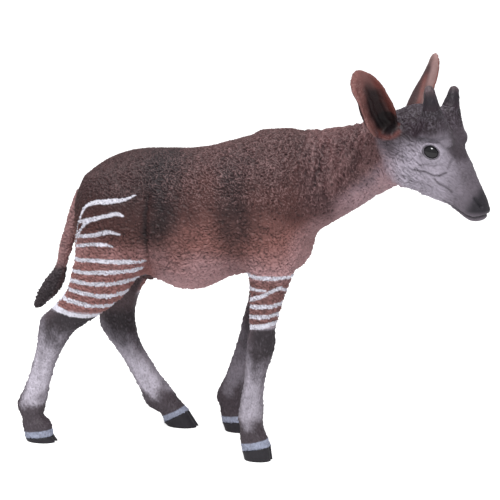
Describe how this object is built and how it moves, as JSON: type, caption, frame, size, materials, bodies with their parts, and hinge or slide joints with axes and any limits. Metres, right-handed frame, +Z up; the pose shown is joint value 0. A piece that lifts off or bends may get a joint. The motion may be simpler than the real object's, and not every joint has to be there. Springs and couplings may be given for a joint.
{
  "type": "toy okapi figurine",
  "caption": "Walking okapi toy of painted moulded vinyl, head turned to its right, standing on flat hooves.",
  "frame": {"origin": "middle of the figure's box at the level of its soles", "axes": "+X towards the head, +Y to the animal's left, +Z up"},
  "size_m": [0.1081, 0.0396, 0.0895],
  "materials": {
    "brown_coat": "painted vinyl, satin",
    "grey_coat": "painted vinyl, satin",
    "dark_coat": "painted vinyl, satin",
    "hoof": "painted vinyl, satin",
    "eye": "gloss black paint"
  },
  "bodies": {
    "root": {"torso": "brown_coat", "neck": "brown_coat", "head": "grey_coat", "ear_right": "brown_coat", "horn_right": "dark_coat", "eye_right": "eye", "ear_left": "brown_coat", "horn_left": "dark_coat", "eye_left": "eye", "tail": "brown_coat", "tail_tuft": "dark_coat", "hind_right_thigh": "brown_coat", "hind_right_shank": "grey_coat", "hind_right_hoof": "hoof", "hind_left_thigh": "brown_coat", "hind_left_shank": "grey_coat", "hind_left_hoof": "hoof", "front_right_forearm": "brown_coat", "front_right_shank": "grey_coat", "front_right_hoof": "hoof", "front_left_forearm": "brown_coat", "front_left_shank": "grey_coat", "front_left_hoof": "hoof"}
  },
  "joints": []
}
